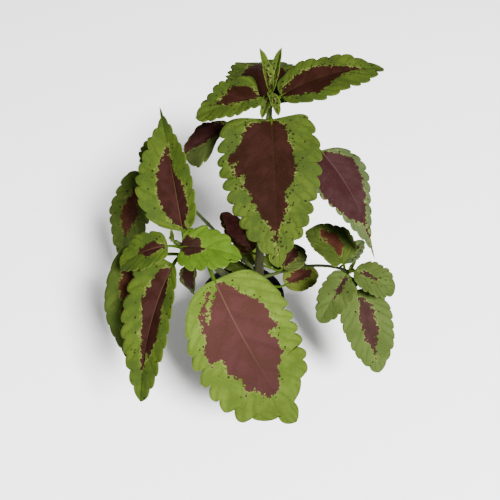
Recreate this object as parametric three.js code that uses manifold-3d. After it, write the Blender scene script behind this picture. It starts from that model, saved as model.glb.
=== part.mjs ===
// A potted coleus: a round nursery pot filled with soil, square leafy stems and broad leaves with
// scalloped edges.
// Millimetres, +Z up. The origin is the centre of the pot's flat underside.
import * as THREE from 'three';
import { mergeVertices } from 'three/addons/utils/BufferGeometryUtils.js';
import Module from 'manifold-3d';

// ---- Pot and soil ----
const POT_HEIGHT = 72;
const POT_BASE_RADIUS = 29;
const POT_WALL_TOP_RADIUS = 37.5;
const POT_RIM_BOTTOM = 61;
const POT_RIM_RADIUS = 40;
const POT_WALL = 1.4;
const POT_FLOOR = 1.8;
const POT_SEGMENTS = 36;
const DRAIN_COUNT = 6;
const DRAIN_RADIUS = 3.5;
const DRAIN_CIRCLE = 19;
const DRAIN_SEGMENTS = 8;
const SOIL_TOP = 63;
const SOIL_CRUMB = 1.3;
const SOIL_DROP = 2.4;
const SOIL_SIDE_PLAY = 0.15;
const SOIL_RINGS = 5;
const SOIL_SECTORS = 22;
const GAP = 0.3;
const ROOT_DEPTH = 14;
const HEIGHT_SEARCH_STEPS = 40;

// ---- Stems ----
const SQUARE_FLAT = 0.84;
const SQUARE_CORNER = 1.1;
const NODE_SWELL = 0.16;
const NODE_SPREAD = 0.025;
const NODE_MARGIN = 0.03;

// ---- Leaves ----
const BLADE_THICKNESS = 0.8;
const MIDRIB_DEPTH = 1.3;
const NECK_HALF_WIDTH = 1.3;
const BLADE_CURL = 0.1;
const WAVES_ALONG_BLADE = 2.5;
const LOBE_SPREAD = 0.16;
const TOOTH_DEPTH = 0.12;
const TOOTH_LEAN = 1.3;
const TOOTH_ROUNDNESS = 0.5;
const TOOTH_UNEVENNESS = 0.35;
const TEETH_FADE_IN = 0.15;
const TEETH_FADE_OUT = 0.1;
const NOTCH_SWEEP = 0.12;
const TIP_SWEEP = 0.1;
const TIP_SWEEP_START = 0.6;
const TIP_SWEEP_LENGTH = 0.25;
const PLAIN_BASE = 0.03;
const POINT_START = 0.8;
const POINT_LENGTH = 0.1;
const LARGE_LEAF = 100;
const LARGE_ROWS_PER_TOOTH = 3;
const SMALL_ROWS_PER_TOOTH = 2;
const ACROSS = [0, 0.5, 1];

// ---- Stalks of the leaves ----
const STALK_RADIUS = 0.7;
const STALK_RADIUS_PER_LENGTH = 0.007;
const STALK_LAP = 5;
const LONG_STALK = 14;
const STALK_SINK = 0.55;
const STALK_RISE = 0.5;
const STALK_BEND = 0.33;
const STALK_TAPER = 0.15;
const STALK_END = 0.6;

// ---- Stems: a cubic curve from the soil, or from inside the stem that carries it, to its tip ----
const STEMS = {
  main: {
    path: [[15, 0, 64], [14, 4, 120], [19, 30, 190], [23, 52, 264]],
    radius: [5, 2.3],
    rooted: true,
    nodes: [0.22, 0.44, 0.62, 0.8, 0.92],
  },
  left: {
    path: [[-1, -10, 64], [1, -13, 120], [-29, -35, 168], [-51, -41, 200]],
    radius: [3.4, 1.8],
    rooted: true,
    nodes: [0.45, 0.72, 0.93],
  },
  right: {
    path: [[15, 3, 96], [43, 14, 98], [71, 14, 111], [89, -31, 150]],
    radius: [1.5, 1.25],
    carrier: 'main',
    nodes: [0.5, 0.94],
  },
  back: {
    path: [[15, 5, 103], [-13, 22, 118], [-48, 44, 158], [-81, 64, 175]],
    radius: [1.8, 1.4],
    carrier: 'main',
    nodes: [0.5, 0.94],
  },
};

// Each leaf: the stem and height that carry it, the ends of its blade, and for its left and right half,
// seen from the stem, the widths, folds, basal lobes and teeth. Taper is [fullness at the base, sharpness
// at the tip], with rightTaper where the right half differs. Sway bends the midrib to the right, smooth is
// where the teeth begin, depth how deep their notches are, and point narrows the last fifth of the blade.
const LEAVES = [
  // Crown of the main stem
  { name: 'leaf_crown_front', stem: 'main', height: 244, base: [24, 43, 251], tip: [29, -51, 180],
    width: [38, 45], fold: [9, 9], arch: 8, taper: [0.31, 0.76], lobe: [18, 8], teeth: [12, 12],
    point: 0.2, rightTaper: [0.29, 0.76], ripple: 2.2 },
  { name: 'leaf_crown_back', stem: 'main', height: 242, base: [22, 64, 249], tip: [15, 152, 226],
    width: [34, 34], fold: [10, 10], arch: 9, taper: [0.3, 0.7], lobe: [10, 10], teeth: [9, 9],
    ripple: 1.4 },
  { name: 'leaf_crown_left', stem: 'main', height: 259, base: [15, 50, 267], tip: [-35, 31, 262],
    width: [18, 27], fold: [12, 12], arch: 4, taper: [0.45, 0.5], rightTaper: [0.3, 0.9], lobe: [4, 9],
    teeth: [8, 8], ripple: 1 },
  { name: 'leaf_crown_right', stem: 'main', height: 259, base: [31, 52, 267], tip: [115, 83, 270],
    width: [23, 28], fold: [12, 12], arch: 8, taper: [0.4, 0.7], lobe: [4, 4], teeth: [9, 9],
    depth: 0.12, ripple: 1.2 },
  // Second and third pairs of the main stem
  { name: 'leaf_low_left', stem: 'main', height: 222, base: [-7, 63, 223], tip: [-49, 52, 204],
    width: [29, 16], fold: [8, 14], arch: 6, taper: [2.2, 0.9], rightTaper: [0.6, 0.75], lobe: [4, 4],
    teeth: [6, 6], depth: 0.08, ripple: 1 },
  { name: 'leaf_low_right', stem: 'main', height: 222, base: [65, 39, 221], tip: [108, -34, 170],
    width: [24, 33], fold: [10, 20], arch: 7, sway: -4, taper: [0.8, 2.4], lobe: [6, 6],
    teeth: [12, 12], depth: 0.1, rightTaper: [0.4, 1.25], ripple: 1 },
  { name: 'leaf_low_back', stem: 'main', height: 186, base: [17, 52, 190], tip: [9, 118, 150],
    width: [24, 24], fold: [10, 10], arch: 8, taper: [0.35, 0.7], lobe: [6, 6], teeth: [8, 8],
    ripple: 1.2 },
  { name: 'leaf_low_front', stem: 'main', height: 186, base: [22, 14, 188], tip: [25, -26, 160],
    width: [15, 15], fold: [10, 10], arch: 5, taper: [0.4, 0.7], lobe: [4, 4], teeth: [6, 6],
    ripple: 0.8 },
  // Small leaves low on the main stem
  { name: 'leaf_inner_back', stem: 'main', height: 150, base: [16, 26, 151], tip: [19, 72, 136],
    width: [14, 14], fold: [12, 12], arch: 4, taper: [0.45, 0.7], lobe: [3, 3], teeth: [5, 5],
    ripple: 0.6 },
  { name: 'leaf_inner_left', stem: 'main', height: 122, base: [8, 14, 122], tip: [-19, 47, 138],
    width: [13, 12], fold: [12, 12], arch: 3, taper: [0.4, 0.6], lobe: [3, 3], teeth: [6, 6],
    ripple: 0.6 },
  { name: 'leaf_inner_small', stem: 'main', height: 82, base: [5, 17, 90], tip: [-21, 29, 89],
    width: [8, 7], fold: [12, 12], arch: 1, taper: [0.5, 0.6], lobe: [1, 1], teeth: [4, 4],
    ripple: 0.3 },
  { name: 'leaf_inner_rear', stem: 'main', height: 92, base: [12, 20, 97], tip: [-2, 37, 101],
    width: [11, 12], fold: [12, 12], arch: 2, taper: [0.4, 0.6], lobe: [2, 2], teeth: [4, 4],
    ripple: 0.4 },
  { name: 'leaf_inner_low', stem: 'main', height: 84, base: [21, 30, 96], tip: [43, 14, 92],
    width: [9, 9], fold: [12, 12], arch: 2, taper: [0.3, 0.6], lobe: [2, 2], teeth: [4, 4],
    ripple: 0.3 },
  { name: 'leaf_inner_front', stem: 'main', height: 88, base: [39, -2, 94], tip: [69, 12, 97],
    width: [15, 18], fold: [12, 12], arch: 3, taper: [0.5, 0.6], lobe: [2, 2], teeth: [6, 6],
    depth: 0.03, ripple: 0.6 },
  { name: 'leaf_inner_right', stem: 'main', height: 111, base: [36, 2, 113], tip: [52, 22, 121],
    width: [12, 17], fold: [12, 12], arch: 3, taper: [0.5, 0.55], lobe: [2, 2], teeth: [6, 6],
    depth: 0.04, ripple: 0.6 },
  // Left shoot
  { name: 'leaf_left_rear', stem: 'left', height: 187, base: [-45, -33, 203], tip: [-68, 72, 240],
    width: [32, 19], fold: [12, 42], arch: 5, taper: [0.75, 1.7], rightTaper: [0.45, 1.1], lobe: [8, 8],
    teeth: [11, 11], depth: 0.1, point: 0.35, ripple: 1.2 },
  { name: 'leaf_left_front', stem: 'left', height: 185, base: [-52, -55, 190], tip: [-76, -141, 130],
    width: [22, 27], fold: [35, 10], arch: 8, sway: 4, taper: [0.7, 0.62], rightTaper: [0.24, 0.85],
    lobe: [8, 8], teeth: [10, 10], ripple: 1.2 },
  { name: 'leaf_left_inner', stem: 'left', height: 191, base: [-45.5, -47, 201], tip: [1, -54, 196],
    width: [20, 26], fold: [15, 12], arch: 4, taper: [0.4, 0.8], lobe: [9, 3], teeth: [5, 6],
    depth: 0.15, rightTaper: [0.35, 0.75], ripple: 0.8 },
  { name: 'leaf_left_outer', stem: 'left', height: 191, base: [-56, -46, 201], tip: [-94, -54, 184],
    width: [19, 18], fold: [12, 15], arch: 5, taper: [0.5, 0.75], lobe: [4, 4], teeth: [7, 7],
    ripple: 0.8 },
  { name: 'leaf_left_large', stem: 'left', height: 165, base: [-22, -46, 158], tip: [44, -140, 95],
    width: [48, 48.5], fold: [6, 6], arch: 7, sway: 6, taper: [0.36, 0.6], rightTaper: [0.6, 0.62],
    lobe: [16, 13], teeth: [11, 11], smooth: 0.2, point: 0.45, depth: 0.12, ripple: 1.8 },
  { name: 'leaf_left_drooping', stem: 'left', height: 165, base: [-73, -33, 164], tip: [-85, -91, 95],
    width: [22, 30], fold: [10, 10], arch: 10, sway: 7, taper: [0.5, 0.75], rightTaper: [0.2, 0.85],
    lobe: [11, 11], teeth: [10, 10], depth: 0.03, ripple: 1 },
  { name: 'leaf_left_small', stem: 'left', height: 156, base: [-41, -13, 134], tip: [-47, -18, 108],
    width: [11, 13], fold: [12, 12], arch: 3, taper: [0.45, 0.25], lobe: [2, 2], teeth: [4, 4],
    ripple: 0.5 },
  // Rear shoot
  { name: 'leaf_rear_left', stem: 'back', height: 171, base: [-85, 60, 173], tip: [-112, 24, 100],
    width: [24, 22], fold: [10, 10], arch: 9, taper: [0.4, 0.75], lobe: [6, 6], teeth: [9, 9],
    ripple: 1 },
  { name: 'leaf_rear_back', stem: 'back', height: 171, base: [-79, 68, 178], tip: [-79, 107, 181],
    width: [14, 13], fold: [12, 12], arch: 3, taper: [0.3, 0.95], lobe: [3, 3], teeth: [6, 6],
    ripple: 0.6 },
  // Right shoot
  { name: 'leaf_right_inner', stem: 'right', height: 146, base: [85, -23, 152], tip: [57, 15, 150],
    width: [15, 25], fold: [20, 12], arch: 3, taper: [0.35, 0.6], lobe: [8, 8], teeth: [8, 8],
    depth: 0.05, rightTaper: [0.45, 0.55], ripple: 0.9 },
  { name: 'leaf_right_rear', stem: 'right', height: 139, base: [89, -12, 138], tip: [107, 14, 138],
    width: [9, 9], fold: [15, 15], arch: 2, taper: [0.5, 0.75], lobe: [2, 2], teeth: [5, 5],
    ripple: 0.5 },
  { name: 'leaf_right_outer', stem: 'right', height: 146, base: [94, -31, 150], tip: [127, -45, 140],
    width: [17, 18], fold: [12, 12], arch: 3, taper: [0.5, 0.55], lobe: [2, 2], teeth: [7, 7],
    ripple: 0.8 },
  { name: 'leaf_right_lower', stem: 'right', height: 144, base: [88, -32, 148], tip: [65, -64, 123],
    width: [17, 14], fold: [12, 12], arch: 3, taper: [0.35, 0.6], lobe: [2, 2], teeth: [7, 7],
    ripple: 0.8 },
  { name: 'leaf_right_front', stem: 'right', height: 141, base: [97, -38, 134], tip: [116, -91, 88],
    width: [23, 24], fold: [12, 12], arch: 5, taper: [0.4, 0.7], lobe: [4, 4], teeth: [9, 9],
    depth: 0.07, ripple: 1 },
];

// Buds: young upright leaves round a short shoot tip, joined to one piece each.
const BUDS = [
  { name: 'bud_main', stem: 'main', length: 8, radius: 1.5, young: [
    { tip: [-9, 12, 34], width: 6 }, { tip: [8, 14, 33], width: 6 },
    { tip: [-7, -17, -11], width: 5.5 }, { tip: [6, -16, -9], width: 5.5 },
    { tip: [-2, -12, 6], width: 3 }, { tip: [2, 6, 14], width: 2.6 }] },
  { name: 'bud_left', stem: 'left', length: 5, radius: 1.2, young: [
    { tip: [-1, 5, 7], width: 2.2 }, { tip: [-2, -4, 6], width: 2.2 }] },
  { name: 'bud_right', stem: 'right', length: 4, radius: 1.1, young: [
    { tip: [5, 5, 9], width: 2.6 }, { tip: [4, -6, 8], width: 2.6 }] },
  { name: 'bud_back', stem: 'back', length: 4, radius: 1.1, young: [
    { tip: [-8, 0, 9], width: 2.6 }, { tip: [-3, 7, 9], width: 2.6 }] },
];

const YOUNG = { fold: [40, 40], arch: 1, taper: [0.6, 0.8], lobe: [0, 0], teeth: [3, 3], ripple: 0 };

const MATERIALS = {
  pot: { color: 0x151515, roughness: 0.5 },
  soil: { color: 0x241a12, roughness: 1 },
  stem: { color: 0x5a6a2c, roughness: 0.6 },
  leaf: { color: 0x7f9a3a, roughness: 0.55 },
};

const wasm = await Module();
wasm.setup();
const UP = new THREE.Vector3(0, 0, 1);
const vector = (a) => new THREE.Vector3(a[0], a[1], a[2]);
const radians = (degrees) => (degrees * Math.PI) / 180;
const clamp = (v) => Math.min(1, Math.max(0, v));

// A closed three.js geometry as a body that can be joined and cut.
function bodyOf(geometry) {
  const plain = geometry.clone();
  plain.deleteAttribute('normal');
  plain.deleteAttribute('uv');
  const merged = mergeVertices(plain, 1e-4);
  const vertProperties = new Float32Array(merged.attributes.position.array);
  const triVerts = new Uint32Array(merged.index.array);
  return new wasm.Manifold(new wasm.Mesh({ numProp: 3, vertProperties, triVerts }));
}

// The main piece of a cut body, without the slivers that a cut can leave.
function largest(body) {
  return body.decompose().sort((a, b) => b.volume() - a.volume())[0];
}

// A body of revolution about Z, from a profile of [radius, height] that starts and ends on the axis.
function turned(profile, segments) {
  const geometry = new THREE.LatheGeometry(profile.map(([r, z]) => new THREE.Vector2(r, z)), segments);
  return geometry.rotateX(Math.PI / 2);
}

// A cylinder bent along the points, with a radius at each. Corners are radius factors round its section.
function rod(points, radii, corners) {
  const steps = points.length - 1;
  const geometry = new THREE.CylinderGeometry(1, 1, 1, corners.length, steps);
  const position = geometry.attributes.position;
  let side = new THREE.Vector3(1, 0, 0);
  const frames = points.map((point, i) => {
    const along = points[Math.min(steps, i + 1)].clone().sub(points[Math.max(0, i - 1)]).normalize();
    if (i === 0 && Math.abs(along.x) > 0.8) side.set(0, 1, 0);
    side = side.clone().addScaledVector(along, -side.dot(along)).normalize();
    return { side, across: side.clone().cross(along) };
  });
  for (let v = 0; v < position.count; v += 1) {
    const [x, z] = [position.getX(v), position.getZ(v)];
    const station = Math.round((position.getY(v) + 0.5) * steps);
    const corner = Math.round((Math.atan2(x, z) / (2 * Math.PI) + 1) * corners.length) % corners.length;
    const reach = radii[station] * corners[corner];
    const place = points[station].clone().addScaledVector(frames[station].side, reach * x)
      .addScaledVector(frames[station].across, reach * z);
    position.setXYZ(v, place.x, place.y, place.z);
  }
  return bodyOf(geometry);
}

const SQUARE = [0, 1, 2, 3].flatMap(() => [SQUARE_FLAT, SQUARE_CORNER]);
const ROUND = [1, 1, 1, 1, 1, 1];

function cubic(path, t) {
  const [a, b, c, d] = path.map(vector);
  const s = 1 - t;
  return a.multiplyScalar(s * s * s).addScaledVector(b, 3 * s * s * t)
    .addScaledVector(c, 3 * s * t * t).addScaledVector(d, t * t * t);
}

// Radius of a stem at a fraction of its length: it tapers, and swells a little where leaves join.
function stemRadius(stem, t) {
  const [low, high] = stem.radius;
  const swell = stem.nodes.reduce((sum, node) => sum + Math.exp(-(((t - node) / NODE_SPREAD) ** 2)), 0);
  return (low + (high - low) * t) * (1 + NODE_SWELL * swell);
}

function stemStations(stem) {
  const stations = [0, 0.12, 0.3, 0.52, 0.68, 0.86, 1];
  stem.nodes.forEach((node) => stations.push(node - NODE_MARGIN, node, node + NODE_MARGIN));
  return stations.sort((a, b) => a - b);
}

// The stem grown by a clearance, for the rod itself and for the seats cut round it.
function stemBody(stem, clearance = 0) {
  const stations = stemStations(stem);
  const points = stations.map((t) => cubic(stem.path, t));
  const radii = stations.map((t) => stemRadius(stem, t) + clearance / SQUARE_FLAT);
  if (stem.rooted) {
    points.unshift(points[0].clone().addScaledVector(UP, -ROOT_DEPTH));
    radii.unshift(radii[0]);
  }
  return rod(points, radii, SQUARE);
}

function stemAtHeight(stem, height) {
  let [low, high] = [0, 1];
  for (let i = 0; i < HEIGHT_SEARCH_STEPS; i += 1) {
    const middle = (low + high) / 2;
    if (cubic(stem.path, middle).z < height) {
      low = middle;
    } else {
      high = middle;
    }
  }
  return cubic(stem.path, low);
}

// Directions of a leaf: to its right and out of its upper face.
function leafFrame(base, tip) {
  const along = tip.clone().sub(base).normalize();
  const right = along.clone().cross(UP).normalize();
  return { right, up: right.clone().cross(along) };
}

function midrib(leaf, t) {
  const base = vector(leaf.base);
  const tip = vector(leaf.tip);
  const { right, up } = leafFrame(base, tip);
  const bend = base.clone().add(tip).multiplyScalar(0.5)
    .addScaledVector(up, 2 * leaf.arch).addScaledVector(right, 2 * (leaf.sway ?? 0));
  const point = base.clone().multiplyScalar((1 - t) ** 2)
    .addScaledVector(bend, 2 * t * (1 - t)).addScaledVector(tip, t * t);
  const along = bend.clone().sub(base).multiplyScalar(1 - t)
    .addScaledVector(tip.clone().sub(bend), t).normalize();
  const side = right.clone().addScaledVector(along, -right.dot(along)).normalize();
  return { point, along, side, up: side.clone().cross(along) };
}

// Depth of the blade's edge at a fraction of its length: 1 in the notch between two teeth, and 0 at the
// full part of a tooth, which leans towards the tip. No two notches are quite as deep.
function notch(leaf, t, side) {
  const phase = leaf.teeth[side < 0 ? 0 : 1] * t;
  const share = phase - Math.floor(phase);
  const fullness = Math.abs(Math.sin(Math.PI * share ** TOOTH_LEAN)) ** TOOTH_ROUNDNESS;
  const uneven = 1 + TOOTH_UNEVENNESS * Math.sin(2.3 * Math.round(phase) + 1.9 * side);
  const begun = clamp((t - (leaf.smooth ?? PLAIN_BASE)) / TEETH_FADE_IN);
  const toothed = begun * clamp((1.02 - t) / TEETH_FADE_OUT);
  return toothed * uneven * (1 - fullness);
}

// Width of one side of the blade at a fraction of its length, 1 at its widest.
function bladeWidth(leaf, t, side) {
  const [full, sharp] = side > 0 ? leaf.rightTaper ?? leaf.taper : leaf.taper;
  const widest = full / (full + sharp);
  const pointed = 1 - (leaf.point ?? 0) * clamp((t - POINT_START) / POINT_LENGTH);
  const shape = pointed * (t ** full * (1 - t) ** sharp) / (widest ** full * (1 - widest) ** sharp);
  return shape - (leaf.depth ?? TOOTH_DEPTH) * notch(leaf, t, side) * Math.sqrt(shape);
}

// A point of the middle surface, for a side of -1 or 1 and a reach of 0 at the midrib to 1 at the edge.
function bladePoint(leaf, t, side, reach) {
  const frame = midrib(leaf, t);
  const half = side < 0 ? 0 : 1;
  const width = Math.max(leaf.width[half] * bladeWidth(leaf, t, side), NECK_HALF_WIDTH * (1 - t));
  const fold = radians(leaf.fold[half]);
  const x = width * reach;
  const curl = BLADE_CURL * leaf.width[half] * (x / leaf.width[half]) ** 2;
  const wave = Math.sin(2 * Math.PI * (WAVES_ALONG_BLADE * t + (side < 0 ? 0.5 : 0)));
  const lift = x * Math.sin(fold) - curl + leaf.ripple * reach * reach * wave;
  const pitch = vector(leaf.base).distanceTo(vector(leaf.tip)) / leaf.teeth[half];
  const lobe = leaf.lobe[half] * (x / leaf.width[half]) ** 2 * Math.exp(-((t / LOBE_SPREAD) ** 2));
  const sweep = NOTCH_SWEEP + TIP_SWEEP * clamp((t - TIP_SWEEP_START) / TIP_SWEEP_LENGTH);
  const behind = lobe + sweep * pitch * notch(leaf, t, side) * reach ** 3;
  return frame.point.addScaledVector(frame.side, side * x * Math.cos(fold))
    .addScaledVector(frame.up, lift).addScaledVector(frame.along, -behind);
}

// The blade: one grid of points doubled to an upper and a lower face, with a deeper midrib below.
function blade(leaf, rowsPerTooth, across) {
  const columns = [...across.slice(1).reverse().map((v) => -v), ...across];
  const middle = across.length - 1;
  const rows = rowsPerTooth * Math.max(...leaf.teeth);
  const grid = [];
  for (let i = 0; i < rows; i += 1) {
    grid.push(columns.map((c) => bladePoint(leaf, i / rows, c < 0 ? -1 : 1, Math.abs(c))));
  }
  const tip = bladePoint(leaf, 1, 1, 0);
  const wide = columns.length;
  const faces = [];
  for (let i = 0; i + 1 < rows; i += 1) {
    for (let k = 0; k + 1 < wide; k += 1) {
      const a = i * wide + k;
      if (k < middle) {
        faces.push([a, a + 1, a + wide], [a + 1, a + wide + 1, a + wide]);
      } else {
        faces.push([a, a + 1, a + wide + 1], [a, a + wide + 1, a + wide]);
      }
    }
  }
  const flat = grid.flat();
  const end = flat.length;
  flat.push(tip);
  for (let k = 0; k + 1 < wide; k += 1) faces.push([end - wide + k, end - wide + k + 1, end]);
  const normals = flat.map(() => new THREE.Vector3());
  faces.forEach(([a, b, c]) => {
    const normal = flat[b].clone().sub(flat[a]).cross(flat[c].clone().sub(flat[a]));
    [a, b, c].forEach((v) => normals[v].add(normal));
  });
  normals.forEach((n) => n.normalize());
  const half = BLADE_THICKNESS / 2;
  const upper = flat.map((p, v) => p.clone().addScaledVector(normals[v], half));
  const lower = flat.map((p, v) => {
    const row = Math.floor(v / wide);
    const rib = v < end && v % wide === middle ? MIDRIB_DEPTH * (1 - row / rows) : 0;
    return p.clone().addScaledVector(normals[v], -half - rib);
  });
  const count = flat.length;
  const triangles = [...faces];
  faces.forEach(([a, b, c]) => triangles.push([a + count, c + count, b + count]));
  const rim = [];
  for (let k = 0; k < wide; k += 1) rim.push(k);
  for (let i = 1; i < rows; i += 1) rim.push(i * wide + wide - 1);
  rim.push(end);
  for (let i = rows - 1; i > 0; i -= 1) rim.push(i * wide);
  rim.forEach((a, i) => {
    const b = rim[(i + 1) % rim.length];
    triangles.push([a, a + count, b + count], [a, b + count, b]);
  });
  const geometry = new THREE.BufferGeometry().setFromPoints([...upper, ...lower]);
  geometry.setIndex(triangles.flat());
  return bodyOf(geometry);
}

// The stalk from the middle of the stem to a little way under the blade.
function petiole(leaf, start) {
  const base = vector(leaf.base);
  const { along, up } = midrib(leaf, 0);
  const reach = base.distanceTo(start);
  const size = STALK_RADIUS + STALK_RADIUS_PER_LENGTH * base.distanceTo(vector(leaf.tip));
  const under = base.clone().addScaledVector(up, -size * STALK_SINK);
  const outward = new THREE.Vector3(base.x - start.x, base.y - start.y, 0).normalize();
  const rise = outward.addScaledVector(UP, STALK_RISE);
  const path = [
    start.toArray(),
    start.clone().addScaledVector(rise, reach * STALK_BEND).toArray(),
    under.clone().addScaledVector(along, -reach * STALK_BEND).toArray(),
    under.toArray(),
  ];
  const stations = reach > LONG_STALK ? [0, 0.25, 0.5, 0.75, 1] : [0, 0.4, 1];
  const points = stations.map((t) => cubic(path, t));
  const radii = stations.map((t) => size * (1 + STALK_TAPER * (1 - t)));
  points.push(under.clone().addScaledVector(along, STALK_LAP));
  radii.push(size * STALK_END);
  return rod(points, radii, ROUND);
}

function leafBody(leaf) {
  const stem = STEMS[leaf.stem];
  const start = stemAtHeight(stem, leaf.height);
  const large = vector(leaf.base).distanceTo(vector(leaf.tip)) > LARGE_LEAF;
  const rowsPerTooth = large ? LARGE_ROWS_PER_TOOTH : SMALL_ROWS_PER_TOOTH;
  const whole = blade(leaf, rowsPerTooth, ACROSS).add(petiole(leaf, start));
  return largest(whole.subtract(stemBody(stem, GAP)));
}

function budBody(bud) {
  const stem = STEMS[bud.stem];
  const top = cubic(stem.path, 1);
  const along = top.clone().sub(cubic(stem.path, 0.97)).normalize();
  const foot = top.clone().addScaledVector(along, GAP);
  const points = [0, 0.5, 1].map((t) => foot.clone().addScaledVector(along, bud.length * t));
  let body = rod(points, [bud.radius, bud.radius * 1.1, bud.radius * 0.5], ROUND);
  bud.young.forEach((young) => {
    const base = foot.clone().addScaledVector(along, bud.length * 0.5);
    const tip = base.clone().add(vector(young.tip));
    const leaf = { ...YOUNG, base: base.toArray(), tip: tip.toArray(), width: [young.width, young.width] };
    body = body.add(blade(leaf, SMALL_ROWS_PER_TOOTH, [0, 1]));
  });
  return body;
}

function wallRadius(z) {
  return POT_BASE_RADIUS + ((POT_WALL_TOP_RADIUS - POT_BASE_RADIUS) * z) / POT_RIM_BOTTOM;
}

function potBody() {
  const profile = [
    [0, 0],
    [POT_BASE_RADIUS - 1, 0],
    [POT_BASE_RADIUS, 1.2],
    [wallRadius(POT_RIM_BOTTOM), POT_RIM_BOTTOM],
    [POT_RIM_RADIUS - 0.9, POT_RIM_BOTTOM + 0.6],
    [POT_RIM_RADIUS, POT_HEIGHT - 1.4],
    [POT_RIM_RADIUS - 0.8, POT_HEIGHT],
    [POT_RIM_RADIUS - 1.8, POT_HEIGHT - 0.8],
    [POT_RIM_RADIUS - 2.2, POT_RIM_BOTTOM + 2.4],
    [wallRadius(POT_RIM_BOTTOM) - POT_WALL, POT_RIM_BOTTOM],
    [wallRadius(POT_FLOOR) - POT_WALL, POT_FLOOR],
    [0, POT_FLOOR],
  ];
  let pot = bodyOf(turned(profile, POT_SEGMENTS));
  for (let k = 0; k < DRAIN_COUNT; k += 1) {
    const angle = (2 * Math.PI * k) / DRAIN_COUNT;
    const hole = new THREE.CylinderGeometry(DRAIN_RADIUS, DRAIN_RADIUS, POT_FLOOR + 2, DRAIN_SEGMENTS);
    hole.rotateX(Math.PI / 2);
    hole.translate(DRAIN_CIRCLE * Math.cos(angle), DRAIN_CIRCLE * Math.sin(angle), POT_FLOOR / 2);
    pot = pot.subtract(bodyOf(hole));
  }
  return pot;
}

// Soil with an uneven top of crumbs, a little lower than the rim, with a socket round each rooted stem.
function soilBody() {
  const floor = POT_FLOOR + GAP;
  const inside = (z) => wallRadius(z) - POT_WALL - GAP - SOIL_SIDE_PLAY;
  const edge = inside(POT_RIM_BOTTOM);
  const profile = [[0, floor], [inside(floor), floor]];
  for (let ring = SOIL_RINGS; ring >= 0; ring -= 1) {
    const share = ring / SOIL_RINGS;
    profile.push([edge * share, SOIL_TOP - SOIL_DROP * share ** 4]);
  }
  const geometry = turned(profile, SOIL_SECTORS);
  const position = geometry.attributes.position;
  for (let v = 0; v < position.count; v += 1) {
    const [x, y, z] = [position.getX(v), position.getY(v), position.getZ(v)];
    const top = z > POT_RIM_BOTTOM - 2 ? 1 : 0;
    const crumb = Math.sin(0.9 * x + 1.3 * y) * Math.sin(1.1 * x - 0.7 * y + 1);
    const share = Math.hypot(x, y) / edge;
    position.setZ(v, z + top * SOIL_CRUMB * crumb * (1 - 0.7 * share ** 6));
  }
  let soil = bodyOf(geometry);
  Object.values(STEMS).filter((stem) => stem.rooted).forEach((stem) => {
    soil = soil.subtract(stemBody(stem, GAP).translate([0, 0, -GAP]));
  });
  return soil;
}

function meshOf(name, body, look) {
  const { vertProperties, triVerts } = body.getMesh();
  const geometry = new THREE.BufferGeometry();
  geometry.setAttribute('position', new THREE.BufferAttribute(new Float32Array(vertProperties), 3));
  geometry.setIndex(new THREE.BufferAttribute(new Uint32Array(triVerts), 1));
  geometry.computeVertexNormals();
  const material = new THREE.MeshStandardMaterial({ ...look, metalness: 0 });
  const mesh = new THREE.Mesh(geometry, material);
  mesh.name = name;
  return mesh;
}

const plant = new THREE.Group();
plant.name = 'potted_coleus';
plant.add(meshOf('pot', potBody(), MATERIALS.pot));
plant.add(meshOf('soil', soilBody(), MATERIALS.soil));
Object.entries(STEMS).forEach(([name, stem]) => {
  let body = stemBody(stem);
  if (stem.carrier) body = body.subtract(stemBody(STEMS[stem.carrier], GAP));
  plant.add(meshOf(`stem_${name}`, body, MATERIALS.stem));
});
LEAVES.forEach((leaf) => plant.add(meshOf(leaf.name, leafBody(leaf), MATERIALS.leaf)));
BUDS.forEach((bud) => plant.add(meshOf(bud.name, budBody(bud), MATERIALS.leaf)));

export default plant;
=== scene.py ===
"""A potted coleus: scalloped green leaves with ragged purple centres, in a black nursery pot."""
import math
import random

import bmesh
import bpy
from mathutils import Matrix, Vector, noise


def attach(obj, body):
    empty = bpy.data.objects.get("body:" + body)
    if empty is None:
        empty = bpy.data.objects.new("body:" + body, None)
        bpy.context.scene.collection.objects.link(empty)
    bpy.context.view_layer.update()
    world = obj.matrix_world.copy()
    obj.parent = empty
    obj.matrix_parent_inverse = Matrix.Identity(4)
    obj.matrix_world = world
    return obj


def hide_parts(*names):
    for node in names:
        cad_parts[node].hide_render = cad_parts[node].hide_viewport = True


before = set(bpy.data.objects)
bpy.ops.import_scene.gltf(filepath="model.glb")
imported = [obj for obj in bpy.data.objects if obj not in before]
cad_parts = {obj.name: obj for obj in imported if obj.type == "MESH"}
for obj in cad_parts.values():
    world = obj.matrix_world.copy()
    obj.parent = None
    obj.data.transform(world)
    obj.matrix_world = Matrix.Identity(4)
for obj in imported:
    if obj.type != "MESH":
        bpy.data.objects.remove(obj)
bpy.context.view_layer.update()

MM = 0.001
UP = Vector((0, 0, 1))

# ---- Pot and soil: sizes in millimetres as in the solid model, with finer divisions ----
POT_HEIGHT = 72
POT_BASE_RADIUS = 29
POT_WALL_TOP_RADIUS = 37.5
POT_RIM_BOTTOM = 61
POT_RIM_RADIUS = 40
POT_WALL = 1.4
POT_FLOOR = 1.8
POT_SEGMENTS = 120
POT_EDGE_ROUNDING = 0.3
POT_CORNER_ANGLE = 20
POT_SHADING_ANGLE = 40
DRAIN_COUNT = 6
DRAIN_RADIUS = 3.5
DRAIN_CIRCLE = 19
DRAIN_SEGMENTS = 32
SOIL_TOP = 63
SOIL_CRUMB = 1.3
SOIL_GRAIN = 0.9
SOIL_DROP = 2.4
SOIL_SIDE_PLAY = 0.15
SOIL_RINGS = 60
SOIL_SECTORS = 150
CRUMBS = 120
CRUMB_SEED = 7
CRUMB_SMALLEST = 0.5
CRUMB_LARGEST = 1.5
CRUMB_UNEVENNESS = 0.35
CRUMB_FLATNESS = 0.7
GAP = 0.3
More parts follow.
